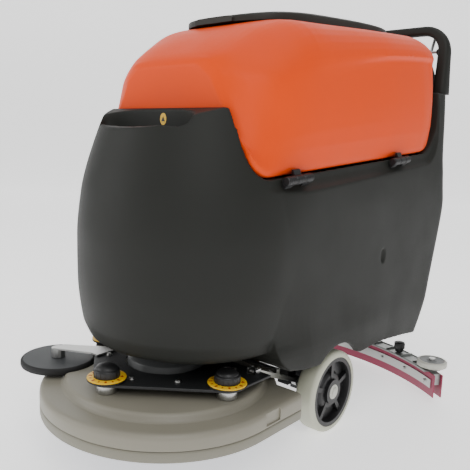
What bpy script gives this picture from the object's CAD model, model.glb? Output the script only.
"""Looks of the wet dry floor scrubber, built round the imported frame.

Shapes are given in the machine's own axes (origin on the floor under the drive axle, front at -Y,
left side at +X) and moved by SHIFT into the frame's axes.
"""
import math

import bmesh
import bpy
from mathutils import Matrix, Vector


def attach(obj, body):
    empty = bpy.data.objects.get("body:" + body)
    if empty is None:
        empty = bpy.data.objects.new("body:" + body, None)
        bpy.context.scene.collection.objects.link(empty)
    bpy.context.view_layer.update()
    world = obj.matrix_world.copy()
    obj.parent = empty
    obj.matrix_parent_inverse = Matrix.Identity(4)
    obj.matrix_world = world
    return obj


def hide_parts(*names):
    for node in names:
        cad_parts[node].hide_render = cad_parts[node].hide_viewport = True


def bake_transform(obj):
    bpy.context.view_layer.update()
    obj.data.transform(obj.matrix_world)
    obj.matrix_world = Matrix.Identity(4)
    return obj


SHIFT = Vector((0.0, -0.0555, 0.0))
# the recovery tank's seat: its height over the drive axle, and its tilt
SEAT_Z = 0.6289
SEAT_TILT = math.radians(4.39)
BOW_Y = -0.22
DECK_Y = -0.3
DECK_AXIS = (0.0, DECK_Y, 0.0)
DECK_RADIUS = 0.28
BUMPER_AXIS = (-0.226, -0.436, 0.0)
WHEEL_RADIUS = 0.099
HALF_TRACK = 0.246
HALF_TYRE = 0.024
# across and above the seat
HINGE = (0.2585, -0.004)
HANDLE_Y = 0.618
CONSOLE_Z = 0.8404
HOSE_SOCKET_Y = 0.47
GUIDE_WHEEL = (0.352, 0.386)
# axes of the deck's height adjusters
ADJUSTERS = {"front": (0.0, -0.47), "left": (0.194, -0.31), "right": (-0.194, -0.31)}
# the recovery tank's ends along the seat, its rounded ends, and its top above the seat
TANK_FRONT_S = -0.3
TANK_REAR_S = 0.551
FRONT_ROUND = 0.045
REAR_ROUND = 0.09
TANK_TOP_N = 0.325

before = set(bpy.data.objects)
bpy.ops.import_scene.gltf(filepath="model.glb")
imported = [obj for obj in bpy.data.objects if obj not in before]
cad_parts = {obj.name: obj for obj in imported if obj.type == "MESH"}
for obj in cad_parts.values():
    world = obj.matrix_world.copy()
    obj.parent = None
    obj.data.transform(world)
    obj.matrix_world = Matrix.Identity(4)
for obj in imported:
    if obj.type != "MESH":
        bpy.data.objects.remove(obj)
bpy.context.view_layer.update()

pieces = bpy.data.collections.new("pieces")
bpy.context.scene.collection.children.link(pieces)


# ---- materials ----
def srgb(red, green, blue):
    """Linear colour of a 0-255 display colour."""
    linear = []
    for value in (red, green, blue):
        c = value / 255
        linear.append(c / 12.92 if c <= 0.04045 else ((c + 0.055) / 1.055) ** 2.4)
    return linear


def preset(node, **values):
    """Sets a node's inputs, named with _ for each space."""
    for name, value in values.items():
        node.inputs[name.replace("_", " ")].default_value = value


def noise(tree, place, scale, detail):
    made = tree.nodes.new("ShaderNodeTexNoise")
    preset(made, Scale=scale, Detail=detail)
    tree.links.new(place.outputs["Object"], made.inputs["Vector"])
    return made.outputs["Fac"]


STAIN_SCALE = 9.0
WEAR = 0.1
RELIEF_DEPTH = 0.001


def surface(name, color, roughness, metallic=0.0, grain=900.0, bump=0.1, mottle=0.12, gloss=0.5):
    """A shader whose colour, roughness and relief vary with noise at a small and a large scale."""
    made = bpy.data.materials.new(name)
    made.use_nodes = True
    tree = made.node_tree
    nodes = tree.nodes
    links = tree.links
    shader = nodes["Principled BSDF"]
    preset(shader, Metallic=metallic, Specular_IOR_Level=gloss)
    place = nodes.new("ShaderNodeTexCoord")
    large = noise(tree, place, STAIN_SCALE, 6.0)
    small = noise(tree, place, grain, 3.0)
    tint = nodes.new("ShaderNodeMix")
    tint.data_type = "RGBA"
    darker = [c * (1 - mottle) for c in color]
    lighter = [min(c * (1 + mottle), 1.0) for c in color]
    tint.inputs["A"].default_value = (*darker, 1.0)
    tint.inputs["B"].default_value = (*lighter, 1.0)
    links.new(large, tint.inputs["Factor"])
    links.new(tint.outputs["Result"], shader.inputs["Base Color"])
    blend = nodes.new("ShaderNodeMath")
    blend.operation = "ADD"
    links.new(large, blend.inputs[0])
    links.new(small, blend.inputs[1])
    rough = nodes.new("ShaderNodeMapRange")
    preset(rough, From_Min=0.5, From_Max=1.5)
    preset(rough, To_Min=max(roughness - WEAR, 0.03), To_Max=min(roughness + WEAR, 1.0))
    links.new(blend.outputs["Value"], rough.inputs["Value"])
    links.new(rough.outputs["Result"], shader.inputs["Roughness"])
    relief = nodes.new("ShaderNodeBump")
    preset(relief, Strength=bump, Distance=RELIEF_DEPTH)
    links.new(small, relief.inputs["Height"])
    links.new(relief.outputs["Normal"], shader.inputs["Normal"])
    return made


BODY = surface("body_plastic", srgb(34, 35, 32), 0.55, grain=700.0, bump=0.22, mottle=0.06, gloss=0.22)
ORANGE = surface("orange_plastic", (0.8, 0.062, 0.0003), 0.45, grain=500.0, bump=0.1, mottle=0.04, gloss=0.16)
LID = surface("lid_plastic", srgb(44, 44, 40), 0.5, grain=700.0, bump=0.25, mottle=0.06, gloss=0.25)
DECK_PAINT = surface("deck_paint", srgb(136, 132, 118), 0.45, grain=400.0, bump=0.2, mottle=0.05)
SKIRT = surface("skirt_plastic", srgb(130, 127, 113), 0.5, grain=400.0, bump=0.15, mottle=0.05)
BLACK = surface("black_plastic", srgb(24, 24, 25), 0.42, bump=0.15)
RUBBER = surface("black_rubber", srgb(30, 30, 30), 0.75, grain=500.0, bump=0.3)
BUMPER_TOP = surface("bumper_top", srgb(52, 55, 57), 0.55, grain=600.0, bump=0.2)
TYRE = surface("tyre_polyurethane", srgb(188, 189, 170), 0.5, grain=350.0, bump=0.12, mottle=0.06)
STEEL = surface("zinc_steel", srgb(190, 190, 188), 0.33, metallic=1.0, grain=300.0, bump=0.1, mottle=0.1)
CAST = surface("cast_aluminium", srgb(160, 162, 160), 0.42, metallic=0.85, grain=260.0, bump=0.45, mottle=0.1)
MOTOR = surface("motor_enamel", srgb(84, 86, 86), 0.4, grain=260.0, bump=0.2, mottle=0.05)
PAINT = surface("frame_paint", srgb(34, 35, 36), 0.45, grain=300.0, bump=0.2)
YELLOW = surface("dial_yellow", srgb(240, 190, 20), 0.4, bump=0.05, mottle=0.05)
RED = surface("dial_red", srgb(170, 16, 12), 0.4, bump=0.05, mottle=0.05)
BLADE = surface("blade_polyurethane", srgb(150, 40, 74), 0.4, grain=250.0, bump=0.1, mottle=0.1)
GREY = surface("grey_plastic", srgb(120, 122, 122), 0.5, bump=0.15)
PALE = surface("pale_plastic", srgb(196, 196, 186), 0.5, bump=0.1)
BRISTLE = surface("nylon_bristle", srgb(40, 62, 120), 0.6, grain=1200.0, bump=0.9, mottle=0.25)
BRASS = surface("brass", srgb(190, 165, 95), 0.35, metallic=1.0, grain=300.0, bump=0.1)
GAUGE = surface("gauge_face", srgb(20, 40, 30), 0.15, bump=0.02)


# ---- mesh helpers ----
def new_object(name, bm, look, low_angle=38.0):
    bmesh.ops.recalc_face_normals(bm, faces=bm.faces)
    mesh = bpy.data.meshes.new(name)
    bm.to_mesh(mesh)
    bm.free()
    made = bpy.data.objects.new(name, mesh)
    pieces.objects.link(made)
    for item in look if isinstance(look, (list, tuple)) else [look]:
        mesh.materials.append(item)
    shade(made, low_angle)
    return made


def shade(piece, angle):
    """Smooth shading, with edges steeper than the angle in degrees left sharp."""
    piece.data.shade_smooth()
    piece.data.set_sharp_from_angle(angle=math.radians(angle))


def join_rings(bm, first, second, look=0):
    count = len(first)
    for i in range(count):
        j = (i + 1) % count
        face = bm.faces.new((first[i], first[j], second[j], second[i]))
        face.material_index = look


def loft_into(bm, sections, look=0, caps=True):
    rings = [[bm.verts.new(Vector(point)) for point in section] for section in sections]
    for first, second in zip(rings, rings[1:]):
        join_rings(bm, first, second, look)
    if caps:
        for ring in (rings[0], rings[-1]):
            bm.faces.new(ring).material_index = look
    return rings


def loft(name, sections, look, **options):
    bm = bmesh.new()
    loft_into(bm, sections)
    return new_object(name, bm, look, **options)


def turn_into(bm, profile, place, sides=64, look=0, axis="Z"):
    """Turns (radius, height) points about an axis through place, open where the profile meets the axis."""
    rings = []
    for radius, height in profile:
        ring = []
        for a, b in oval(0.0, 0.0, radius, radius, sides)[:sides if radius > 0 else 1]:
            offset = {"Z": (a, b, height), "X": (height, a, b), "Y": (a, height, b)}[axis]
            ring.append(bm.verts.new(Vector(place) + Vector(offset)))
        rings.append(ring)
    closed = profile[0][0] > 0
    pairs = list(zip(rings, rings[1:])) + ([(rings[-1], rings[0])] if closed else [])
    for first, second in pairs:
        if len(first) == 1 and len(second) == 1:
            continue
        for k in range(sides):
            n = (k + 1) % sides
            if len(first) == 1:
                corners = (first[0], second[n], second[k])
            elif len(second) == 1:
                corners = (first[k], first[n], second[0])
            else:
                corners = (first[k], first[n], second[n], second[k])
            bm.faces.new(corners).material_index = look
    return rings


def turned(name, profile, look, place=(0, 0, 0), **options):
    bm = bmesh.new()
    turn_into(bm, profile, place, **options)
    return new_object(name, bm, look)


def rod(radius, low, high):
    """Profile of a plain rod for turn_into."""
    return [(0.0, high), (radius, high), (radius, low), (0.0, low)]


def band(inner, outer, low, high):
    """Profile of a flat ring for turn_into."""
    return [(outer, high), (outer, low), (inner, low), (inner, high)]


def box_into(bm, low, high, look=0, turn=None, bevel=0.0):
    start = set(bm.verts)
    made = bmesh.ops.create_cube(bm, size=1.0)["verts"]
    size = Vector(high) - Vector(low)
    bmesh.ops.scale(bm, vec=size, verts=made)
    if bevel:
        edges = {edge for vert in made for edge in vert.link_edges}
        bmesh.ops.bevel(bm, geom=list(edges), offset=bevel, segments=2, affect="EDGES", profile=0.6)
        made = [vert for vert in bm.verts if vert not in start]
    if turn is not None:
        bmesh.ops.transform(bm, matrix=turn, verts=made)
    bmesh.ops.translate(bm, vec=(Vector(low) + Vector(high)) / 2, verts=made)
    for face in {face for vert in made for face in vert.link_faces}:
        face.material_index = look
    return made


def arc(cx, cy, radius, start, end, steps):
    points = []
    for i in range(steps + 1):
        angle = math.radians(start + (end - start) * i / steps)
        points.append((cx + radius * math.cos(angle), cy + radius * math.sin(angle)))
    return points


def oval(cx, cy, half_x, half_y, count):
    angles = [2 * math.pi * k / count for k in range(count)]
    return [(cx + half_x * math.cos(a), cy + half_y * math.sin(a)) for a in angles]


def curve_at(table, value):
    """Smooth lookup in a table of (value, result) pairs: a cubic whose slopes never overshoot."""
    if value <= table[0][0]:
        return table[0][1]
    if value >= table[-1][0]:
        return table[-1][1]
    slopes = [(fb - fa) / (b - a) for (a, fa), (b, fb) in zip(table, table[1:])]
    for i, ((a, fa), (b, fb)) in enumerate(zip(table, table[1:])):
        if value <= b:
            before = slopes[i - 1] if i else slopes[i]
            after = slopes[i + 1] if i + 1 < len(slopes) else slopes[i]
            here = slopes[i]
            m0 = 2 * before * here / (before + here) if before * here > 0 else 0.0
            m1 = 2 * after * here / (after + here) if after * here > 0 else 0.0
            h = b - a
            t = (value - a) / h
            return ((2 * t**3 - 3 * t**2 + 1) * fa + (t**3 - 2 * t**2 + t) * h * m0
                    + (3 * t**2 - 2 * t**3) * fb + (t**3 - t**2) * h * m1)


def ramp(value, start, length):
    """Rises from 0 at start to 1 a length later."""
    return min(max((value - start) / length, 0.0), 1.0)


def spread(start, end, count):
    return [start + (end - start) * i / (count - 1) for i in range(count)]


def upper(x, s, n):
    """A point given across, along and above the tank's tilted seat."""
    c = math.cos(SEAT_TILT)
    t = math.sin(SEAT_TILT)
    return Vector((x, s * c - n * t, SEAT_Z + s * t + n * c))


def boolean(target, other, operation="DIFFERENCE"):
    modifier = target.modifiers.new("cut", "BOOLEAN")
    modifier.operation = operation
    modifier.solver = "EXACT"
    modifier.object = other


def bake(target, *helpers):
    """Applies the modifiers and removes the helper objects."""
    bpy.context.view_layer.update()
    evaluated = target.evaluated_get(bpy.context.evaluated_depsgraph_get())
    mesh = bpy.data.meshes.new_from_object(evaluated)
    target.modifiers.clear()
    target.data = mesh
    for helper in helpers:
        bpy.data.objects.remove(helper)


def carve(target, cutters, helpers=()):
    for cutter in cutters:
        boolean(target, cutter)
    bake(target, *helpers, *cutters)


MESH_KEPT = 0.3


def soften(target, voxel, passes):
    """Remeshes evenly, relaxes and thins, so that every edge gets a moulded rounding."""
    remesh = target.modifiers.new("remesh", "REMESH")
    remesh.mode = "VOXEL"
    remesh.voxel_size = voxel
    relax = target.modifiers.new("relax", "SMOOTH")
    relax.factor = 0.5
    relax.iterations = passes
    target.modifiers.new("thin", "DECIMATE").ratio = MESH_KEPT
    bake(target)
    target.data.shade_smooth()


def settle(piece, body, nodes):
    """Moves a piece built in machine axes into the frame, and ties it to its body and nodes."""
    piece.data.transform(Matrix.Translation(SHIFT))
    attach(piece, body)
    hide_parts(*nodes)


# ---- solution tank: the moulded body ----
# (height, radius) of the round bow, then (y, z) of the shoulder before the tank
BOW_PROFILE = [
    (0.205, 0.112), (0.212, 0.158), (0.224, 0.19), (0.233, 0.21), (0.243, 0.231), (0.263, 0.2425),
    (0.283, 0.2505), (0.38, 0.262), (0.47, 0.263), (0.57, 0.254), (0.62, 0.243), (0.66, 0.231),
    (0.7, 0.2175), (0.73, 0.2065), (0.756, 0.196)]
SHOULDER = [
    (-0.5, 0.703), (-0.4357, 0.7035), (-0.4214, 0.7073), (-0.4005, 0.7174), (-0.3908, 0.7245),
    (-0.3592, 0.7363), (-0.3244, 0.7471), (-0.29, 0.754)]
# (height, half width) of the rear part, its flare and the (y, share) of the flare along the side
SIDE_PROFILE = [
    (0.14, 0.271), (0.225, 0.2725), (0.3, 0.267), (0.4, 0.2632), (0.54, 0.2635), (0.6, 0.261),
    (0.65, 0.255), (0.76, 0.246), (0.84, 0.238)]
ARCH_FLARE = [(0.14, 0.002), (0.19, 0.006), (0.235, 0.005), (0.275, 0.002), (0.32, 0.0)]
ARCH_REACH = [(-0.215, 0.0), (-0.16, 0.45), (-0.11, 1.0), (0.11, 1.0), (0.17, 0.55), (0.26, 0.0)]
RUN_IN = 0.12
# (height, y) of the rear part's front and back, with (y, z) of its lower edge between them
FRONT_EDGE = [(0.187, -0.16), (0.21, -0.2), (0.24, -0.222), (0.305, -0.232)]
SIDE_EDGE = [
    (-0.3, 0.204), (-0.19, 0.2), (-0.14, 0.192), (0.045, 0.19), (0.11, 0.174), (0.216, 0.174),
    (0.365, 0.159), (0.51, 0.139), (0.6, 0.12)]
BACK_EDGE = [
    (0.14, 0.497), (0.205, 0.54), (0.29, 0.586), (0.42, 0.634), (0.52, 0.653), (0.56, 0.645),
    (0.6, 0.642), (0.66, 0.645), (0.84, 0.662)]
REAR_CORNER = 0.078
FOOT_TOP = 0.305
FOOT_BLEND = 0.065
FOOT_STEP = 0.01


def bow_section(height):
    radius = curve_at(BOW_PROFILE, height)
    points = [(x, y, height) for x, y in arc(0.0, BOW_Y, radius, 180, 360, 72)]
    return points + [(radius, -0.12, height), (-radius, -0.12, height)]


def side_at(height, y, front):
    """Half width of the rear part: it runs into the bow in front, and flares over the wheel arch."""
    half = curve_at(SIDE_PROFILE, height) + curve_at(ARCH_FLARE, height) * curve_at(ARCH_REACH, y)
    bow = curve_at(BOW_PROFILE, height)
    narrow = min(half, math.sqrt(max(bow * bow - (front - BOW_Y) ** 2, 0.0)) - 0.0008)
    foot = ramp(-height, -FOOT_TOP, FOOT_BLEND)
    narrow += (half - FOOT_STEP - narrow) * foot
    run = ramp(y, front, RUN_IN)
    return narrow + (half - narrow) * math.sin(run * math.pi / 2)


def rear_section(height):
    front = curve_at(FRONT_EDGE, height)
    back = curve_at(BACK_EDGE, height) - REAR_CORNER
    rows = [(side_at(height, y, front), y) for y in spread(front, back, 36)]
    half = rows[-1][0] - REAR_CORNER
    points = rows + arc(half, back, REAR_CORNER, 0, 90, 12)[1:]
    points += arc(-half, back, REAR_CORNER, 90, 180, 12)[:-1]
    points += [(-x, y) for x, y in reversed(rows)]
    return [(x, y, height) for x, y in points]


def helper(name, sections):
    return loft(name, sections, BODY)


def helper_box(name, low, high):
    bm = bmesh.new()
    box_into(bm, low, high)
    return new_object(name, bm, BODY)


def helper_rod(name, radius, start, end, place, axis="Z", sides=48):
    return turned(name, rod(radius, start, end), BODY, place, sides=sides, axis=axis)


def prism_x(name, outline, start, end):
    return loft(name, [[(x, y, z) for y, z in outline] for x in (start, end)], BODY)


def seat_rise(s):
    """Height by which the seat and the tank on it are rounded up towards both ends."""
    front = min(max(TANK_FRONT_S + FRONT_ROUND - s, 0.0), FRONT_ROUND)
    rear = min(max(s - TANK_REAR_S + REAR_ROUND, 0.0), REAR_ROUND)
    rise = FRONT_ROUND - math.sqrt(FRONT_ROUND ** 2 - front ** 2)
    return rise + REAR_ROUND - math.sqrt(REAR_ROUND ** 2 - rear ** 2)


TANK_STEPS = [
    -0.3, -0.299, -0.297, -0.294, -0.29, -0.284, -0.276, -0.266, -0.255, 0.461, 0.476, 0.491, 0.505,
    0.517, 0.528, 0.537, 0.543, 0.547, 0.55, 0.551]
LEDGE_STEPS = [
    -0.3025, -0.2975, -0.2925, -0.287, -0.28, -0.271, -0.261, -0.252, 0.456, 0.471, 0.486, 0.501,
    0.513, 0.523, 0.533, 0.542, 0.552]
LEDGE_EDGE = [
    (0.24, 0.012), (0.2415, 0.001), (0.244, -0.014), (0.25, -0.0245), (0.262, -0.034), (0.33, -0.042),
    (0.33, 0.012)]
RECESS_ROWS = [
    (0.6654, 0.116, 0.04), (0.69, 0.122, 0.044), (0.702, 0.126, 0.046), (0.712, 0.132, 0.0495),
    (0.8, 0.15, 0.056)]
RECESS_BACK = -0.3275
DIMPLE = (0.218, 0.403)
BEYOND = 0.4


def seat_outline():
    """The room over the tank's seat, seen from the side, with play in front and behind."""
    front = TANK_FRONT_S - 0.003
    rear = TANK_REAR_S + 0.008
    outline = [(front, BEYOND), (front, seat_rise(TANK_FRONT_S) + 0.004)]
    outline += [(s, seat_rise(s) + 0.001) for s in TANK_STEPS]
    return outline + [(rear, seat_rise(TANK_REAR_S) + 0.04), (rear, BEYOND)]


def body_cutters():
    above = [(-0.5, 0.8)] + SHOULDER + [(-0.29, 0.8)]
    cutters = [helper("seat_room", [[upper(x, s, n) for s, n in seat_outline()] for x in (-BEYOND, BEYOND)]),
               prism_x("above_shoulder", above, -BEYOND, BEYOND)]
    for side in (-1, 1):
        # the ledge under the recovery tank, turning up at both ends
        rows = [[upper(side * x, s, n + seat_rise(s)) for x, n in LEDGE_EDGE] for s in LEDGE_STEPS]
        cutters.append(helper(f"ledge_{side}", rows))
    cutters.append(helper_box("battery_bay", (-0.236, -0.095, 0.24), (0.236, 0.47, 0.7)))
    for name in ("left", "right"):
        x, y = ADJUSTERS[name]
        cutters.append(helper_rod(f"knob_room_{x}", 0.0287, 0.15, 0.2237, (x, y, 0.0)))
    axle = (0.0, 0.0, WHEEL_RADIUS)
    recess = [[(x, y, z) for x, y in oval(0.0, RECESS_BACK - b, a, b, 72)] for z, a, b in RECESS_ROWS]
    dimple = [[(x, y, z) for y, z in oval(*DIMPLE, 0.011, 0.018, 32)] for x in (0.2575, 0.29)]
    return cutters + [
        helper_box("chassis_room", (-0.262, -0.119, 0.1), (0.262, 0.48, 0.225)),
        helper_box("arm_passage", (-0.236, -0.3, 0.1), (0.236, -0.11, 0.187)),
        helper_rod("wheel_arch", 0.121, -BEYOND, BEYOND, axle, axis="X", sides=80),
        helper_rod("motor_well", 0.0985, 0.15, 0.365, DECK_AXIS),
        helper_box("rear_notch", (-0.196, 0.4405, 0.1), (0.196, 0.6, 0.1995)),
        helper_box("rear_room", (-0.225, 0.481, 0.19), (0.225, 0.56, 0.64)),
        helper_rod("suction_port", 0.0225, 0.54, 0.6, (0.0, 0.0, 0.8025), axis="Y", sides=32),
        helper_box("lever_slot", (0.1045, 0.61, 0.622), (0.1355, 0.7, 0.815)),
        helper("filling_recess", recess),
        helper_rod("filling_hole", 0.036, 0.56, 0.7, (0.0, -0.372, 0.0)),
        helper("side_dimple", dimple)]


def make_body():
    heights = spread(0.205, 0.28, 12) + spread(0.29, 0.756, 36)
    body = loft("solution_tank_body", [bow_section(z) for z in heights], BODY)
    rear = helper("rear_part", [rear_section(z) for z in spread(0.14, 0.84, 48)])
    below = prism_x("below_side_edge", [(-0.3, 0.05)] + SIDE_EDGE + [(0.62, 0.05)], -BEYOND, BEYOND)
    boolean(rear, below)
    boolean(body, rear, "UNION")
    carve(body, body_cutters(), (rear, below))
    soften(body, 0.0031, 3)
    settle(body, "machine", ["solution_tank"])
    bm = bmesh.new()
    for low, high in ((0.1, 0.113), (0.127, 0.14)):
        box_into(bm, (low, 0.636, 0.586), (high, 0.682, 0.614), bevel=0.002)
    turn_into(bm, rod(0.005, 0.099, 0.141), (0.0, 0.672, 0.6), sides=24, look=1, axis="X")
    settle(new_object("lever_lugs", bm, [BODY, STEEL]), "machine", ["solution_tank"])


# ---- recovery tank ----
# along the seat: half width at the bottom, crease half width and height, shoulder half width and height
TANK_STATIONS = [
    (-0.3, 0.228, 0.128, 0.196, 0.085, 0.229),
    (-0.288, 0.236, 0.15, 0.205, 0.11, 0.243),
    (-0.262, 0.241, 0.19, 0.2, 0.128, 0.262),
    (-0.215, 0.243, 0.228, 0.2, 0.134, 0.29),
    (-0.155, 0.244, 0.244, 0.21, 0.142, 0.316),
    (-0.1, 0.244, 0.248, 0.221, 0.156, TANK_TOP_N),
    (0.05, 0.244, 0.25, 0.238, 0.158, TANK_TOP_N),
    (0.25, 0.244, 0.25, 0.253, 0.158, TANK_TOP_N),
    (0.43, 0.243, 0.248, 0.257, 0.157, TANK_TOP_N),
    (0.5, 0.236, 0.242, 0.256, 0.15, 0.318),
    (0.535, 0.22, 0.226, 0.252, 0.135, 0.3),
    (TANK_REAR_S, 0.195, 0.2, 0.248, 0.12, 0.275)]


CREASE_DENT = 0.0085
EASING_PASSES = 7


def ease(side, strength):
    """Pulls the points above the lower edge towards the middle of their neighbours."""
    eased = list(side)
    for i in range(5, len(side) - 1):
        for_x = 0.5 * (side[i - 1][0] + side[i + 1][0]) - side[i][0]
        for_n = 0.5 * (side[i - 1][1] + side[i + 1][1]) - side[i][1]
        eased[i] = (side[i][0] + strength * for_x, side[i][1] + strength * for_n)
    return eased


def tank_section(s):
    """The tank's outline at s: up one side past the crease, over the shoulder and across the top."""
    columns = [[(station[0], station[k]) for station in TANK_STATIONS] for k in range(1, 6)]
    bottom, crease, crease_n, edge, edge_n = [curve_at(column, s) for column in columns]
    low = 0.004 + seat_rise(s)
    dent = CREASE_DENT * ramp(s, -0.19, 0.22) * ramp(-s, -0.545, 0.06)
    side = [(bottom - 0.012, low), (bottom - 0.003, low + 0.004), (bottom, low + 0.014)]
    first, last = low + 0.018, crease_n - 0.034
    for t in (0.2, 0.4, 0.6, 0.8, 1.0):
        n = first + (last - first) * t
        k = (n - 0.004) / (crease_n - 0.004)
        side.append((bottom + (crease - bottom) * k + 0.006 * math.sin(math.pi * k) - dent * t * t, n))
    side += [(crease - dent, crease_n - 0.012), (crease - dent, crease_n - 0.006)]
    side += [(crease - 0.55 * dent, crease_n - 0.001), (crease, crease_n + 0.004)]
    full = ramp(s, -0.24, 0.16)
    for t in (0.12, 0.25, 0.4, 0.55, 0.7, 0.85, 0.95, 1.0):
        rounded = 1 - (1 - t) ** 2.1
        n = crease_n + 0.004 * (1 - t) + (edge_n - crease_n) * (full * rounded + (1 - full) * t)
        x = crease - (crease - edge) * (full * t ** 1.35 + (1 - full) * t)
        side.append((x, n))
    top = edge_n + 0.0012
    side += [(edge * 0.93, top - 0.0004), (edge * 0.75, top), (edge * 0.4, top)]
    soft = 1.0 - ramp(s, -0.22, 0.16) * (0.55 + 0.45 * ramp(s, 0.02, 0.2))
    if s < -0.285:
        soft = 0.45
    for _ in range(EASING_PASSES):
        side = ease(side, 0.6 * soft)
    right = [upper(x, s, n) for x, n in side]
    return right + [upper(-x, s, n) for x, n in reversed(side)]


def make_tank():
    stations = TANK_STEPS[:8] + spread(-0.255, -0.08, 15) + spread(-0.05, 0.44, 18) + TANK_STEPS[9:]
    tank = loft("recovery_tank_shell", [tank_section(s) for s in stations], ORANGE)
    mouth = rounded_rectangle(-0.125, 0.125, -0.09, 0.44, 0.05)
    opening = helper("tank_opening", [[upper(x, s, n) for x, s in mouth] for n in (0.28, 0.36)])
    sections = []
    for s in spread(-0.29, TANK_REAR_S - 0.008, 16):
        middle = upper(0.0, s, 0.16)
        sections.append([middle + (point - middle) * 0.955 for point in tank_section(s)])
    room = helper("tank_room", sections)
    inlet = helper_rod("tank_inlet", 0.017, 0.5, 0.58, (0.0, 0.0, 0.8055), axis="Y", sides=32)
    carve(tank, (room, opening, inlet))
    soften(tank, 0.003, 6)
    settle(tank, "tank", ["recovery_tank"])


def rounded_rectangle(x0, x1, y0, y1, radius, steps=8):
    points = arc(x1 - radius, y0 + radius, radius, -90, 0, steps)
    points += arc(x1 - radius, y1 - radius, radius, 0, 90, steps)
    points += arc(x0 + radius, y1 - radius, radius, 90, 180, steps)
    points += arc(x0 + radius, y0 + radius, radius, 180, 270, steps)
    return points


def lid_section(s, half, rise, low):
    side = [(half, low), (half, low + 0.55 * rise), (half - 0.0015, low + 0.72 * rise)]
    side.append((half - 0.006, low + 0.86 * rise))
    for k in (0.9, 0.78, 0.62, 0.42, 0.2):
        side.append((half * k - 0.004 * (k == 0.9), low + rise * (0.93 + 0.07 * (1 - k * k))))
    right = [upper(x, s, n) for x, n in side]
    left = [upper(-x, s, n) for x, n in reversed(side)]
    return right + left


def make_lid():
    front, rear = -0.15, 0.49
    middle = (front + rear) / 2
    length = (rear - front) / 2
    sections = []
    for i in range(49):
        u = -math.cos(math.pi * i / 48)
        half = max(0.155 * (1 - abs(u) ** 6) ** 0.5, 0.055) if abs(u) < 0.999 else 0.055
        rise = 0.024 * (1 - 0.55 * max(u, 0.0) ** 2 - 0.45 * max(-u, 0.0) ** 4)
        sections.append(lid_section(middle + u * length, half, rise, TANK_TOP_N + 0.0014))
    lid = loft("recovery_lid_cap", sections, LID)
    inside = rounded_rectangle(-0.138, 0.138, -0.115, 0.455, 0.06)
    carve(lid, [helper("lid_room", [[upper(x, s, n) for x, s in inside] for n in (0.3, TANK_TOP_N + 0.009)])])
    shade(lid, 32)
    settle(lid, "lid", ["recovery_lid"])


# ---- handle and console ----
GRIP_WIDTH = [(0, 0.0205), (1, 0.02), (3, 0.018), (8, 0.016), (16, 0.0145)]
GRIP_DEPTH = [(0, 0.029), (1, 0.027), (3, 0.022), (8, 0.0175), (16, 0.0155)]
GRIP_FILL = 0.97


def make_handle():
    corner = 0.064
    half_x = 0.2155
    top = 1.028
    path = [Vector((-half_x, HANDLE_Y, z)) for z in (CONSOLE_Z, 0.87, 0.9, 0.935)]
    path += [Vector((x, HANDLE_Y, z)) for x, z in arc(-half_x + corner, top - corner, corner, 180, 90, 12)]
    path += [Vector((-0.08, HANDLE_Y, top))]
    path += [Vector((-p.x, p.y, p.z)) for p in reversed(path)]
    bm = bmesh.new()
    sections = []
    last = len(path) - 1
    for i, point in enumerate(path):
        from_end = min(i, last - i)
        width = curve_at(GRIP_WIDTH, from_end)
        depth = curve_at(GRIP_DEPTH, from_end)
        along = (path[min(i + 1, last)] - path[max(i - 1, 0)]).normalized()
        across = along.cross(Vector((0, 1, 0))).normalized()
        ring = []
        for q in range(28):
            angle = 2 * math.pi * q / 28
            c, s = math.cos(angle), math.sin(angle)
            shape = 1.0 / (abs(c) ** 3 + abs(s) ** 3) ** (1 / 3)
            ring.append(point + across * width * c * shape * GRIP_FILL
                        + Vector((0, 1, 0)) * depth * s * shape * GRIP_FILL)
        sections.append(ring)
    loft_into(bm, sections)
    # pivot bosses of the start bail
    for side in (-1, 1):
        boss = [(0.0, 0.1925), (0.007, 0.1925), (0.009, 0.1945), (0.009, 0.2), (0.0, 0.2)]
        turn_into(bm, [(r, side * x) for r, x in boss], (0.0, HANDLE_Y, 0.965), sides=28, axis="X")
    settle(new_object("rear_handle_grip", bm, BODY), "machine", ["rear_handle"])


CONSOLE_OUTLINE = [
    (0.577, CONSOLE_Z), (0.577, 0.915), (0.579, 0.922), (0.584, 0.927), (0.591, 0.93), (0.598, 0.9295),
    (0.604, 0.926), (0.668, 0.864), (0.671, 0.86), (0.672, 0.855), (0.672, CONSOLE_Z)]
CONSOLE_ENDS = [
    (-0.188, 0.004), (-0.1865, 0.0015), (-0.183, 0.0), (0.183, 0.0), (0.1865, 0.0015), (0.188, 0.004)]
KNOB_HOLE = 0.0098
BUTTON_HOLE = 0.0115
PANEL_HOLES = [(-0.13, KNOB_HOLE), (-0.065, BUTTON_HOLE), (-0.01, BUTTON_HOLE), (0.055, KNOB_HOLE)]


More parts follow.
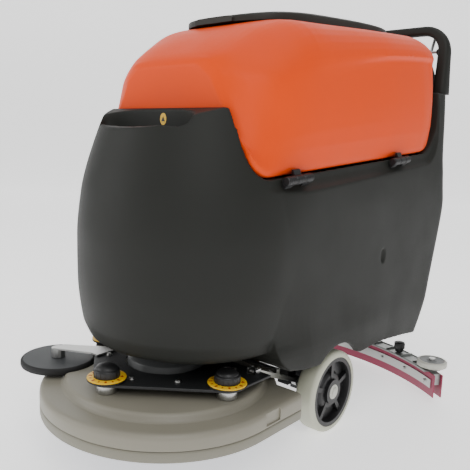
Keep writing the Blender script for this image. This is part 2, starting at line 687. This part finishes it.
def make_console():
    sections = []
    for x, inset in CONSOLE_ENDS:
        middle = Vector((x, 0.625, 0.885))
        ring = []
        for y, z in CONSOLE_OUTLINE:
            point = Vector((x, y, z))
            pull = (middle - point).normalized() * inset
            pull.z = max(pull.z, 0.0) if z <= CONSOLE_Z + 0.001 else pull.z
            ring.append(point + pull)
        sections.append(ring)
    console = loft("console_housing", sections, BODY)
    tilt = math.atan2(0.86 - 0.93, 0.672 - 0.6)
    turn = Matrix.Translation((0.0, 0.636, 0.895)) @ Matrix.Rotation(tilt, 4, "X")
    cutters = [helper_rod(f"panel_hole_{x}", radius, -0.012, 0.02, (x, 0.0, 0.0), sides=32)
               for x, radius in PANEL_HOLES]
    cutters.append(helper_box("gauge_hole", (0.1, -0.02, -0.006), (0.16, 0.02, 0.02)))
    for cutter in cutters:
        cutter.data.transform(turn)
    carve(console, cutters)
    shade(console, 35)
    settle(console, "machine", ["control_console"])
    bm = bmesh.new()
    box_into(bm, (0.1004, -0.0196, -0.0056), (0.1596, 0.0196, 0.0018), bevel=0.001)
    for k in range(6):
        x = 0.108 + 0.0088 * k
        box_into(bm, (x - 0.0034, -0.002, 0.0016), (x + 0.0034, 0.011, 0.0022), look=2 if k == 0 else 1)
    gauge = new_object("battery_gauge_face", bm, [GAUGE, YELLOW, RED])
    gauge.data.transform(turn)
    settle(gauge, "machine", ["battery_gauge"])
    # bezels round the controls; the one round the key switch is a little wider
    bm = bmesh.new()
    for x, radius in PANEL_HOLES[:3] + [(0.055, 0.0102)]:
        turn_into(bm, [(radius, 0.0), (radius, 0.0014), (radius + 0.0008, 0.0018), (radius + 0.0035, 0.0012),
                       (radius + 0.004, 0.0)], (x, 0.0, 0.0), sides=36)
    bezels = new_object("control_bezels", bm, BLACK)
    bezels.data.transform(turn)
    settle(bezels, "machine", ["control_console"])


# ---- deck ----
def deck_outline(inset, height):
    half = DECK_RADIUS - inset
    back = -0.14 - inset
    rear = 0.258 - inset
    corner = max(0.022 - inset, 0.004)
    turn = math.degrees(math.asin((back - DECK_Y) / rear))
    points = arc(0.0, DECK_Y, half, 180, 360, 72)
    points += arc(half - corner, back - corner, corner, 0, 90, 6)
    points += arc(0.0, DECK_Y, rear, turn, 180 - turn, 28)
    points += arc(-half + corner, back - corner, corner, 90, 180, 6)
    return [(x, y, height) for x, y in points]


SHELL_ROWS = [
    (0.008, 0.1083), (0.002, 0.1083), (0.0004, 0.1095), (0.0, 0.112), (0.0, 0.129), (0.0008, 0.1345),
    (0.003, 0.1385), (0.0065, 0.1408), (0.011, 0.1418), (0.02, 0.142)]
SKIRT_ROWS = [
    (0.008, 0.0855), (0.003, 0.085), (0.0008, 0.086), (0.0, 0.0885), (0.0, 0.103), (0.001, 0.1062),
    (0.003, 0.1077), (0.008, 0.1077)]
PLATFORM = [
    (0.0, 0.158), (0.217, 0.158), (0.2205, 0.1572), (0.224, 0.155), (0.2262, 0.152), (0.228, 0.147),
    (0.231, 0.1438), (0.235, 0.1422), (0.235, 0.138), (0.0, 0.138)]


def make_deck():
    shell = loft("deck_top", [deck_outline(inset, z) for inset, z in SHELL_ROWS], DECK_PAINT)
    platform = turned("platform", PLATFORM, DECK_PAINT, DECK_AXIS, sides=96)
    relief = helper_rod("bumper_relief", 0.093, 0.1458, 0.2, BUMPER_AXIS, sides=64)
    room = helper("deck_room", [deck_outline(0.0065, z) for z in (0.05, 0.136)])
    under = [(0.0, 0.151), (0.208, 0.151), (0.214, 0.12), (0.0, 0.12)]
    high = turned("high_room", under, BODY, DECK_AXIS, sides=72)
    floor = helper_rod("relief_floor", 0.098, 0.1365, 0.2, BUMPER_AXIS, sides=64)
    boolean(high, floor)
    hole = helper_rod("shaft_hole", 0.03, 0.12, 0.2, DECK_AXIS)
    notches = []
    for side in (-1, 1):
        low, top = sorted((side * 0.2765, side * 0.29))
        notches.append(helper_box(f"latch_notch_{side}", (low, -0.283, 0.113), (top, -0.235, 0.146)))
        boolean(shell, notches[-1])
    boolean(shell, platform, "UNION")
    carve(shell, (relief, room, high, hole), (platform, floor, *notches))
    shade(shell, 30)
    settle(shell, "deck", ["deck_shell"])
    bm = bmesh.new()
    rings = loft_into(bm, [deck_outline(inset, z) for inset, z in SKIRT_ROWS], caps=False)
    join_rings(bm, rings[-1], rings[0])
    settle(new_object("deck_lower_skirt", bm, SKIRT, low_angle=60), "deck", ["deck_skirt"])


TUFT_RINGS = 9
TUFT_PITCH = 0.015
TUFT_LEAN = 0.0035
TUFT_CORNERS = (0, 1.26, 2.51, 3.77, 5.03)
BRUSH_DISC = [
    (0.242, 0.1285), (0.2405, 0.13), (0.06, 0.13), (0.06, 0.1124), (0.2405, 0.1124), (0.242, 0.1139)]
MOTOR_PROFILE = [
    (0.0, 0.34), (0.055, 0.34), (0.064, 0.336), (0.07, 0.328), (0.07, 0.212), (0.0745, 0.205), (0.085, 0.199),
    (0.087, 0.196), (0.087, 0.17), (0.088, 0.168), (0.088, 0.1584), (0.0, 0.1584)]
MOTOR_BOLTS = 0.08


def make_brush():
    bm = bmesh.new()
    for ring in range(TUFT_RINGS):
        radius = 0.122 + 0.0145 * ring
        count = int(2 * math.pi * radius / TUFT_PITCH)
        for k in range(count):
            angle = 2 * math.pi * (k + 0.5 * (ring % 2)) / count
            c, s = math.cos(angle), math.sin(angle)
            x = radius * c
            y = DECK_Y + radius * s
            tuft = []
            for width, lean, z in ((0.003, 0.0, 0.112), (0.0058, TUFT_LEAN, 0.0772)):
                tuft.append([(x + width * math.cos(q) + lean * c, y + width * math.sin(q) + lean * s, z)
                             for q in TUFT_CORNERS])
            loft_into(bm, tuft)
    settle(new_object("brush_tufts", bm, BRISTLE, low_angle=60), "brush", ["brush_bristles"])
    disc = turned("brush_disc", BRUSH_DISC, GREY, DECK_AXIS, sides=96)
    settle(disc, "brush", ["brush_block"])
    motor = turned("brush_motor_casting", MOTOR_PROFILE, MOTOR, DECK_AXIS, sides=72)
    settle(motor, "deck", ["brush_motor"])
    bm = bmesh.new()
    for x, y in arc(0.0, DECK_Y, MOTOR_BOLTS, 30, 330, 5):
        bolt_into(bm, x, y, 0.199 - 0.0035, 0.0045)
    settle(new_object("motor_bolts", bm, STEEL), "deck", ["brush_motor"])


def bolt_into(bm, x, y, z, size, height=0.004):
    """A hexagon head with a washer under it, standing on z."""
    turn_into(bm, rod(size * 1.5, 0.0, 0.0008), (x, y, z), sides=24)
    low = [(px, py, z + 0.0006) for px, py in oval(x, y, size * 1.1, size * 1.1, 6)]
    mid = [(px, py, z + height * 0.85) for px, py, pz in low]
    top = [(x + (px - x) * 0.84, y + (py - y) * 0.84, z + height) for px, py, pz in low]
    loft_into(bm, [low, mid, top])


# ---- adjusters ----
DIAL_TOP = [
    (0.0, 0.1925), (0.039, 0.1925), (0.0408, 0.1918), (0.0413, 0.1905), (0.0408, 0.1895), (0.0, 0.1895)]
DIAL_BASE = [
    (0.0, 0.1894), (0.0402, 0.1894), (0.0415, 0.1884), (0.0415, 0.1862), (0.04, 0.1855), (0.007, 0.1855),
    (0.007, 0.159), (0.0, 0.159)]
KNOB_CAP = [
    (0.0, 0.2188), (0.01, 0.2185), (0.0165, 0.2172), (0.0208, 0.2148), (0.0228, 0.2118), (0.0232, 0.2098),
    (0.0256, 0.2088), (0.0268, 0.2068), (0.027, 0.204), (0.027, 0.1925), (0.0, 0.1925)]
KNOB_FLUTE = [(0.0, 0.206), (0.0011, 0.2052), (0.0011, 0.1928), (0.0, 0.1928)]
TICK_RADIUS = 0.0345
ARROW = ((0.0325, 0.2), (0.0365, -0.06), (0.0285, -0.06))


def make_adjusters():
    for name, (x, y) in ADJUSTERS.items():
        place = (x, y, 0.0)
        bm = bmesh.new()
        turn_into(bm, DIAL_TOP, place, sides=56, look=1)
        turn_into(bm, DIAL_BASE, place, sides=56)
        turn_into(bm, KNOB_CAP, place, sides=48)
        for flute_x, flute_y in oval(x, y, 0.0267, 0.0267, 16):
            turn_into(bm, KNOB_FLUTE, (flute_x, flute_y, 0.0), sides=8)
        # red ticks: short and long bars round the dial, with an arrow at each end of the scale
        for k in range(9):
            angle = math.radians(-90 + 24 * (k - 4))
            half = Vector((0.0075, 0.004, 0.0004) if k % 2 == 0 else (0.005, 0.0028, 0.0004)) / 2
            centre = Vector((x + TICK_RADIUS * math.cos(angle), y + TICK_RADIUS * math.sin(angle), 0.1926))
            box_into(bm, centre - half, centre + half, look=2, turn=Matrix.Rotation(angle, 4, "Z"))
        for sign in (-1, 1):
            angle = math.radians(-90 + sign * 128)
            tip = [(x + r * math.cos(angle + sign * a), y + r * math.sin(angle + sign * a)) for r, a in ARROW]
            loft_into(bm, [[(px, py, z) for px, py in tip] for z in (0.1924, 0.1928)], 2)
        piece = new_object(f"adjuster_{name}_dial", bm, [BLACK, YELLOW, RED])
        settle(piece, f"adjuster_{name}", [f"adjuster_knob_{name}"])


def make_bumper():
    z = 0.149
    face = [(0.0062, 0.014), (0.015, 0.014), (0.0165, 0.0155), (0.081, 0.016), (0.081, 0.001),
            (0.0062, 0.001)]
    tyre = [(0.0812, 0.016), (0.0835, 0.0158), (0.086, 0.014), (0.087, 0.0115), (0.087, 0.0045),
            (0.086, 0.0018), (0.0835, 0.0), (0.0812, 0.0)]
    bm = bmesh.new()
    for look, profile in enumerate((face, tyre)):
        turn_into(bm, [(r, z + rise) for r, rise in profile], BUMPER_AXIS, sides=72, look=look)
    settle(new_object("bumper_disc", bm, [BUMPER_TOP, RUBBER]), "bumper", ["bumper_wheel"])


# ---- wheels ----
TREAD_HALF = [(0.0842, 0.0), (0.09, 0.0), (0.095, 0.0012), (0.0978, 0.0042), (WHEEL_RADIUS, 0.009)]
SPOKES = 5
HUB_DISH = [
    (0.0735, 0.006), (0.0735, 0.001), (0.028, 0.001), (0.028, 0.015), (0.04, 0.015), (0.044, 0.0125),
    (0.048, 0.007)]
HUB_CAP = [
    (0.0, 0.0058), (0.008, 0.0055), (0.0105, 0.0045), (0.0115, 0.0015), (0.0168, 0.0012), (0.0178, 0.0),
    (0.0, 0.0)]


def make_wheels():
    half = HALF_TYRE
    inner = half - 0.001
    for side, name in ((1, "left"), (-1, "right")):
        body = f"{name}_wheel"
        place = (side * HALF_TRACK, 0.0, WHEEL_RADIUS)
        tread = [(r, half - step) for r, step in TREAD_HALF]
        tread += [(r, -half + step) for r, step in reversed(TREAD_HALF)]
        settle(turned(f"tyre_{name}_tread", tread, TYRE, place, sides=96, axis="X"), body, [f"tyre_{name}"])
        bm = bmesh.new()
        rim_ring = [(0.0837, inner), (0.0837, -inner), (0.074, -inner), (0.073, -half + 0.004), (0.072, 0.0),
                    (0.073, half - 0.004), (0.074, inner)]
        turn_into(bm, rim_ring, place, sides=80, axis="X")
        turn_into(bm, band(0.0104, 0.03, -inner, inner), place, sides=48, axis="X")
        turn_into(bm, band(0.028, 0.0735, -0.006, -0.002), place, sides=64, axis="X")
        turn_into(bm, [(r, side * x) for r, x in HUB_DISH], place, sides=64, axis="X")
        for k in range(SPOKES):
            angle = 2 * math.pi * (k + 0.25) / SPOKES
            c, s = math.cos(angle), math.sin(angle)
            corners = [(r * c - w * s, r * s + w * c)
                       for r, w in ((0.026, 0.0045), (0.074, 0.006), (0.074, -0.006), (0.026, -0.0045))]
            loft_into(bm, [[Vector(place) + Vector((side * depth, a, b)) for a, b in corners]
                           for depth in (-half + 0.003, half - 0.0075)])
        rim = new_object(f"wheel_rim_{name}_spokes", bm, BLACK)
        settle(rim, body, [f"wheel_rim_{name}"])
        dome = [(r, side * inner + side * rise) for r, rise in HUB_CAP]
        cap = turned(f"hub_cap_{name}_dome", dome, PALE, place, sides=48, axis="X")
        settle(cap, body, [f"hub_cap_{name}"])


# ---- squeegee ----
SQUEEGEE_RADIUS = 0.63
SQUEEGEE_AXIS_Y = 0.478 - SQUEEGEE_RADIUS
SQUEEGEE_ANGLE = 38.2
SQUEEGEE_STEPS = 72


def squeegee_band(bm, rows, reach=1.0):
    """A ring-shaped bar along the squeegee's curve, from a closed outline of (radial offset, height)."""
    angle = SQUEEGEE_ANGLE * reach
    sections = []
    for i in range(SQUEEGEE_STEPS + 1):
        a = math.radians(90 - angle + 2 * angle * i / SQUEEGEE_STEPS)
        c, s = math.cos(a), math.sin(a)
        sections.append([((SQUEEGEE_RADIUS + r) * c, SQUEEGEE_AXIS_Y + (SQUEEGEE_RADIUS + r) * s, z)
                         for r, z in rows])
    loft_into(bm, sections)


def on_curve(x):
    return SQUEEGEE_AXIS_Y + math.sqrt(SQUEEGEE_RADIUS ** 2 - x * x)


BLADE_EDGE = [(0.0, 0.078), (0.003, 0.078), (0.003, 0.016), (0.0024, 0.015), (0.0006, 0.015), (0.0, 0.016)]
STRIP_THICKNESS = 0.0021
CASTING_BAR = [(-0.0096, 0.0786), (0.0096, 0.0786), (0.0096, 0.048), (-0.0096, 0.048)]
CASTING_TOP = [
    (-0.0245, 0.084), (-0.026, 0.0828), (-0.026, 0.0784), (0.022, 0.0784), (0.022, 0.0828), (0.0205, 0.084),
    (0.019, 0.084), (0.0175, 0.0815), (-0.0215, 0.0815), (-0.023, 0.084)]
END_PAD = [(0.0, 0.0842), (0.02, 0.0842), (0.022, 0.0825), (0.022, 0.0783), (0.0, 0.0783)]
END_BOLT = [(0.0, 0.1075), (0.0085, 0.107), (0.009, 0.103), (0.005, 0.1028), (0.005, 0.083), (0.0, 0.083)]
RIBS = (0.08, 0.155, 0.205, 0.265, 0.31)
HOSE_SOCKET = [
    (0.02, 0.1498), (0.0225, 0.15), (0.023, 0.149), (0.023, 0.0975), (0.026, 0.095), (0.033, 0.0935),
    (0.0345, 0.09), (0.035, 0.0784), (0.02, 0.0784)]
GUIDE_TYRE = [
    (0.033, 0.102), (0.037, 0.1016), (0.0392, 0.1), (0.04, 0.0975), (0.04, 0.089), (0.0392, 0.0865),
    (0.037, 0.0849), (0.033, 0.0845)]
GUIDE_DISC = [
    (0.0332, 0.1005), (0.014, 0.1), (0.012, 0.1018), (0.0054, 0.1018), (0.0054, 0.085), (0.0332, 0.086)]
CLAMP_KNOB_X = 0.235
CLAMP_KNOB = [
    (0.0, 0.113), (0.011, 0.1128), (0.014, 0.1115), (0.015, 0.109), (0.015, 0.095), (0.011, 0.087),
    (0.011, 0.0844), (0.005, 0.0844), (0.005, 0.07), (0.0, 0.07)]
KNOB_LOBE = [(0.0, 0.1122), (0.0036, 0.1112), (0.0042, 0.109), (0.0042, 0.0952), (0.0, 0.0945)]


def make_blade(name, side, blade_offset, strip_offset):
    """One blade, and its clamp strip with a row of hexagon nuts on the outer face."""
    bm = bmesh.new()
    squeegee_band(bm, [(blade_offset + r, z) for r, z in BLADE_EDGE])
    settle(new_object(f"{name}_squeegee_blade", bm, BLADE), "squeegee", [f"{name}_blade"])
    bm = bmesh.new()
    outer = strip_offset + STRIP_THICKNESS
    strip = [(strip_offset, 0.062), (outer, 0.062), (outer, 0.038), (strip_offset, 0.038)]
    squeegee_band(bm, strip, reach=0.97)
    radius = SQUEEGEE_RADIUS + (strip_offset if side < 0 else outer)
    for k in range(9):
        a = math.radians(90 + (k - 4) * 8.6)
        centre = Vector((radius * math.cos(a), SQUEEGEE_AXIS_Y + radius * math.sin(a), 0.05))
        nut = bmesh.ops.create_cone(bm, cap_ends=True, segments=6, radius1=0.0052, radius2=0.0046,
                                    depth=0.0052)
        face = Vector((math.cos(a), math.sin(a), 0)) * side
        turn = face.to_track_quat("Z", "Y").to_matrix().to_4x4()
        bmesh.ops.transform(bm, matrix=Matrix.Translation(centre + face * 0.0022) @ turn, verts=nut["verts"])
    settle(new_object(f"{name}_clamp_band", bm, STEEL), "squeegee", [f"{name}_clamp_strip"])


def make_squeegee():
    make_blade("front", -1, -0.013, -0.0155)
    make_blade("rear", 1, 0.01, 0.0134)
    guide_x, guide_y = GUIDE_WHEEL
    bm = bmesh.new()
    squeegee_band(bm, CASTING_BAR, reach=0.98)
    squeegee_band(bm, CASTING_TOP, reach=0.93)
    for side in (-1, 1):
        place = (side * guide_x, guide_y, 0.0)
        turn_into(bm, END_PAD, place, sides=40)
        turn_into(bm, END_BOLT, place, sides=32, look=1)
        for distance in RIBS:
            x = side * distance
            turn = Matrix.Rotation(math.atan2(on_curve(x) - SQUEEGEE_AXIS_Y, x), 4, "Z")
            centre = Vector((x, on_curve(x), 0.0835))
            half = Vector((0.019, 0.0016, 0.003))
            box_into(bm, centre - half, centre + half, turn=turn)
    turn_into(bm, HOSE_SOCKET, (0.0, HOSE_SOCKET_Y, 0.0), sides=56)
    casting = new_object("squeegee_casting_body", bm, [CAST, STEEL], low_angle=34)
    settle(casting, "squeegee", ["squeegee_casting"])
    for side, name in ((1, "left"), (-1, "right")):
        bm = bmesh.new()
        place = (side * guide_x, guide_y, 0.0)
        turn_into(bm, GUIDE_TYRE, place, sides=64, look=1)
        turn_into(bm, GUIDE_DISC, place, sides=48)
        settle(new_object(f"guide_roller_{name}", bm, [GREY, PALE]), f"guide_{name}", [f"guide_wheel_{name}"])
        x = side * CLAMP_KNOB_X
        y = on_curve(x)
        bm = bmesh.new()
        turn_into(bm, CLAMP_KNOB, (x, y, 0.0), sides=48)
        for lobe_x, lobe_y in oval(x, y, 0.0122, 0.0122, 6):
            turn_into(bm, KNOB_LOBE, (lobe_x, lobe_y, 0.0), sides=14)
        knob = new_object(f"clamp_knob_{name}_lobes", bm, BLACK)
        settle(knob, f"clamp_knob_{name}", [f"squeegee_knob_{name}"])


# ---- hinges and adjuster plate ----
HINGE_STATIONS = (("front", -0.185), ("rear", 0.285))
KNUCKLE = 0.03
KNUCKLE_GAP = 0.0006
HINGE_FOOT = ((0.247, -0.004), (0.26, -0.004), (0.26, -0.0125), (0.252, -0.02), (0.247, -0.015))
HINGE_PLATE = ((0.2475, -0.006), (0.2585, -0.006), (0.257, 0.006), (0.253, 0.016), (0.249, 0.017))


def make_hinges():
    for name, s in HINGE_STATIONS:
        start = s - 1.5 * KNUCKLE
        base = bmesh.new()
        leaf = bmesh.new()
        barrel(base, start, start + KNUCKLE)
        barrel(leaf, start + KNUCKLE + KNUCKLE_GAP, start + 2 * KNUCKLE - KNUCKLE_GAP)
        barrel(base, start + 2 * KNUCKLE, start + 3 * KNUCKLE)
        # short feet on the body's ledge, hidden behind the barrel
        for a in (start + 0.003, start + 2 * KNUCKLE + 0.003):
            loft_into(base, [[upper(x, t, n) for x, n in HINGE_FOOT] for t in (a, a + KNUCKLE - 0.006)])
        a, b = start + KNUCKLE + 0.003, start + 2 * KNUCKLE - 0.003
        loft_into(leaf, [[upper(x, t, n) for x, n in HINGE_PLATE] for t in (a, b)])
        settle(new_object(f"hinge_base_{name}_knuckles", base, BLACK), "machine", [f"tank_hinge_base_{name}"])
        settle(new_object(f"hinge_leaf_{name}_knuckle", leaf, BLACK), "tank", [f"tank_hinge_leaf_{name}"])


def barrel(bm, start, end):
    """A hinge knuckle about the tank's hinge axis, with grooves and eased ends."""
    steps = [(start, 0.0082), (start + 0.0012, 0.0094)]
    for k in range(5):
        at = start + 0.004 + (end - start - 0.008) * k / 4
        steps += [(at - 0.0012, 0.01), (at - 0.0006, 0.009), (at + 0.0006, 0.009), (at + 0.0012, 0.01)]
    steps += [(end - 0.0012, 0.0094), (end, 0.0082)]
    loft_into(bm, [[upper(x, s, n) for x, n in oval(*HINGE, radius, radius, 28)] for s, radius in steps])


PLATE_ROWS = ((0.001, 0.179), (0.0, 0.18), (0.0, 0.1838), (0.001, 0.185))
SPACER = [
    (0.0075, 0.1789), (0.02, 0.1789), (0.0212, 0.178), (0.022, 0.1765), (0.022, 0.1605), (0.0212, 0.1592),
    (0.02, 0.1584), (0.0075, 0.1584)]
PLATE_BOLTS = (
    (-0.026, -0.432), (0.034, -0.432), (-0.11, -0.376), (0.112, -0.372), (-0.15, -0.235), (0.15, -0.235))


def plate_outline(inset, height):
    half, reach = 0.225 - inset, 0.031 - inset
    points = [(-half, -0.2 - inset), (half, -0.2 - inset)]
    points += arc(*ADJUSTERS["left"], reach, 0, -60, 10)
    points += arc(*ADJUSTERS["front"], reach, -60, -120, 12)
    points += arc(*ADJUSTERS["right"], reach, 240, 180, 10)
    return [(x, y, height) for x, y in points]


def make_plate():
    plate = loft("adjuster_plate_sheet", [plate_outline(inset, z) for inset, z in PLATE_ROWS], PAINT)
    cutters = [helper_rod("motor_hole", 0.092, 0.15, 0.22, DECK_AXIS, sides=72)]
    for side in (-1, 1):
        low, high = sorted((side * 0.1822, side * 0.1978))
        cutters.append(helper_box(f"arm_slot_{side}", (low, -0.23, 0.15), (high, -0.19, 0.187)))
    for name, (x, y) in ADJUSTERS.items():
        cutters.append(helper_rod(f"stud_hole_{name}", 0.0075, 0.15, 0.22, (x, y, 0.0), sides=24))
    carve(plate, cutters)
    shade(plate, 35)
    settle(plate, "deck", ["adjuster_plate"])
    bm = bmesh.new()
    for x, y in ADJUSTERS.values():
        turn_into(bm, SPACER, (x, y, 0.0), sides=48)
    for side in (-1, 1):
        for inner, outer in ((0.1765, 0.1815), (0.1985, 0.2035)):
            low, high = sorted((side * inner, side * outer))
            box_into(bm, (low, -0.224, 0.1846), (high, -0.206, 0.1955), bevel=0.0015)
        low, high = sorted((side * 0.1765, side * 0.204))
        turn_into(bm, rod(0.004, low, high), (0.0, -0.215, 0.188), sides=24, axis="X")
    for x, y in PLATE_BOLTS:
        bolt_into(bm, x, y, 0.185, 0.005, height=0.0045)
    settle(new_object("plate_spacers_and_bolts", bm, STEEL), "deck", ["adjuster_plate"])


# (y, z) of the hose from the squeegee's socket up to the rear port
HOSE_START = [
    (HOSE_SOCKET_Y, 0.1504), (HOSE_SOCKET_Y + 0.003, 0.165), (HOSE_SOCKET_Y + 0.014, 0.19), (0.505, 0.228),
    (0.527, 0.28), (0.553, 0.36), (0.572, 0.48), (0.59, 0.62), (0.606, 0.71), (0.6065, 0.768), (0.601, 0.789),
    (0.588, 0.8025)]
HOSE_STEP = 0.0016
HOSE_CUFF = [
    (0.018, 0.1645), (0.0262, 0.164), (0.027, 0.163), (0.027, 0.1312), (0.0262, 0.13), (0.0236, 0.13),
    (0.0236, 0.15)]


def smooth_path(points, step):
    """Points about a step apart on a smooth curve through the given points."""
    path = []
    for i in range(len(points) - 1):
        before = points[max(i - 1, 0)]
        after = points[min(i + 2, len(points) - 1)]
        here, there = points[i], points[i + 1]
        count = max(int((there - here).length / step), 2)
        for k in range(count):
            t = k / count
            path.append(0.5 * (2 * here + (there - before) * t
                               + (2 * before - 5 * here + 4 * there - after) * t * t
                               + (3 * here - before - 3 * there + after) * t ** 3))
    return path + [points[-1]]


def make_hose():
    """A smooth cuff and a ribbed tube that gives at its lower end when the squeegee lifts."""
    points = [Vector((0.0, y, z)) for y, z in HOSE_START]
    points += [upper(0.0, s, 0.135) for s in (0.578, 0.5535)]
    path = smooth_path(points, HOSE_STEP)
    bm = bmesh.new()
    sections = []
    last = len(path) - 1
    across = Vector((1, 0, 0))
    for i, point in enumerate(path):
        along = (path[min(i + 1, last)] - path[max(i - 1, 0)]).normalized()
        up = across.cross(along)
        plain = i < 10 or i > last - 12
        radius = 0.0188 if plain else 0.018 + 0.0009 * math.sin(2 * math.pi * i / 4)
        sections.append([point + across * a + up * b for a, b in oval(0.0, 0.0, radius, radius, 24)])
    loft_into(bm, sections, caps=False)
    turn_into(bm, HOSE_CUFF, (0.0, HOSE_SOCKET_Y, 0.0), sides=48)
    hose = new_object("suction_hose_ribbed", bm, RUBBER, low_angle=60)
    hose.data.transform(Matrix.Translation(SHIFT))
    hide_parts("suction_hose")
    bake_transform(hose)


def make_fill_mark():
    """The generic yellow mark on the back wall of the filling recess: an oval with a triangle on it."""
    bm = bmesh.new()
    x, z = 0.006, 0.725
    mark = oval(x, z, 0.0095, 0.0125, 40)
    triangle = [(x - 0.005, z - 0.0045), (x + 0.005, z - 0.0045), (x, z + 0.0055)]
    for look, (outline, front) in enumerate(((mark, -0.3268), (triangle, -0.3274))):
        loft_into(bm, [[(px, y, pz) for px, pz in outline] for y in (front, front - 0.0012)], look)
    settle(new_object("fill_mark", bm, [YELLOW, BLACK]), "machine", ["solution_tank"])


# ---- nodes that keep their shape ----
KEPT = {
    GREY: ["fill_strainer", "float_cage"],
    PAINT: ["chassis_frame"],
    CAST: ["drive_transaxle", "brush_drive_plate", "vacuum_motor"],
    STEEL: ["caster_fork", "bumper_bracket", "deck_lift_arm", "squeegee_arm", "battery_link", "key_switch",
            "start_bail", "squeegee_lever", "deck_pedal"],
    RUBBER: ["caster_wheel", "lid_seal"],
    PALE: ["float_ball"],
    BLACK: ["battery_front", "battery_rear", "water_knob"],
    BRASS: ["solution_valve"],
    YELLOW: ["brush_button", "vacuum_button"]}


def dress_nodes():
    for look, names in KEPT.items():
        for name in names:
            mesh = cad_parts[name].data
            for index in range(max(len(mesh.materials), 1)):
                if len(mesh.materials) > index:
                    mesh.materials[index] = look
                else:
                    mesh.materials.append(look)


make_body()
make_tank()
make_lid()
make_handle()
make_console()
make_deck()
make_brush()
make_adjusters()
make_bumper()
make_wheels()
make_squeegee()
make_hinges()
make_plate()
make_hose()
make_fill_mark()
dress_nodes()


# ---- floor, light and camera ----
WHITE = (1.0, 1.0, 1.0, 1.0)
FLOOR_GLOW = 1.0
SKY_STRENGTH = 0.42
FLOOR_HALF = 9.0
SWEEP_START = 5.5
SWEEP_RADIUS = 2.5


def make_stage():
    floor_look = surface("studio_floor", (0.8, 0.8, 0.8), 0.6, grain=40.0, bump=0.02, mottle=0.01)
    profile = [(-FLOOR_HALF, 0.0)]
    profile += [(SWEEP_START + SWEEP_RADIUS * math.sin(a), SWEEP_RADIUS - SWEEP_RADIUS * math.cos(a))
                for a in spread(0.0, math.pi / 2, 24)]
    profile.append((SWEEP_START + SWEEP_RADIUS, FLOOR_HALF))
    bm = bmesh.new()
    rows = [[bm.verts.new((x, y, z)) for x in (-FLOOR_HALF, FLOOR_HALF)] for y, z in profile]
    for first, second in zip(rows, rows[1:]):
        bm.faces.new((first[0], first[1], second[1], second[0]))
    preset(floor_look.node_tree.nodes["Principled BSDF"], Emission_Color=WHITE, Emission_Strength=FLOOR_GLOW)
    floor = new_object("studio_sweep", bm, floor_look)
    floor.rotation_euler = (0.0, 0.0, math.radians(41.7))
    world = bpy.data.worlds.new("studio_world")
    world.use_nodes = True
    preset(world.node_tree.nodes["Background"], Color=WHITE, Strength=SKY_STRENGTH)
    bpy.context.scene.world = world


def lamp(name, place, target, size, power):
    light = bpy.data.lights.new(name, "AREA")
    light.shape = "RECTANGLE"
    light.size, light.size_y = size
    light.energy = power
    made = bpy.data.objects.new(name, light)
    bpy.context.scene.collection.objects.link(made)
    made.location = place
    made.rotation_mode = "QUATERNION"
    made.rotation_quaternion = (Vector(target) - Vector(place)).to_track_quat("-Z", "Y")


CAMERA_PLACE = Vector((0.947, -1.218, 0.687)) + SHIFT
CAMERA_YAW = math.radians(41.66)
CAMERA_PITCH = math.radians(9.39)
CAMERA_ROLL = math.radians(1.87)
LENS_MM = 46.0
SENSOR_MM = 36.0
CAMERA_SHIFT = (0.0487, 0.0068)


def make_camera():
    level = math.cos(CAMERA_PITCH)
    back = Vector((math.sin(CAMERA_YAW) * level, -math.cos(CAMERA_YAW) * level, math.sin(CAMERA_PITCH)))
    right = Vector((math.cos(CAMERA_YAW), math.sin(CAMERA_YAW), 0.0))
    up = back.cross(right)
    c, s = math.cos(CAMERA_ROLL), math.sin(CAMERA_ROLL)
    right, up = c * right + s * up, -s * right + c * up
    data = bpy.data.cameras.new("photo_camera")
    data.lens = LENS_MM
    data.sensor_width = SENSOR_MM
    data.shift_x, data.shift_y = CAMERA_SHIFT
    camera = bpy.data.objects.new("photo_camera", data)
    bpy.context.scene.collection.objects.link(camera)
    camera.matrix_world = Matrix.Translation(CAMERA_PLACE) @ Matrix((right, up, back)).transposed().to_4x4()
    bpy.context.scene.camera = camera


make_stage()
lamp("key_light", (2.6, -2.2, 3.2), (0.0, 0.0, 0.4), (2.4, 2.4), 72.0)
lamp("front_light", (-2.2, -2.8, 1.8), (0.0, -0.2, 0.4), (2.0, 2.4), 46.0)
lamp("top_light", (0.0, 0.4, 3.4), (0.0, 0.0, 0.5), (3.0, 3.0), 40.0)
make_camera()
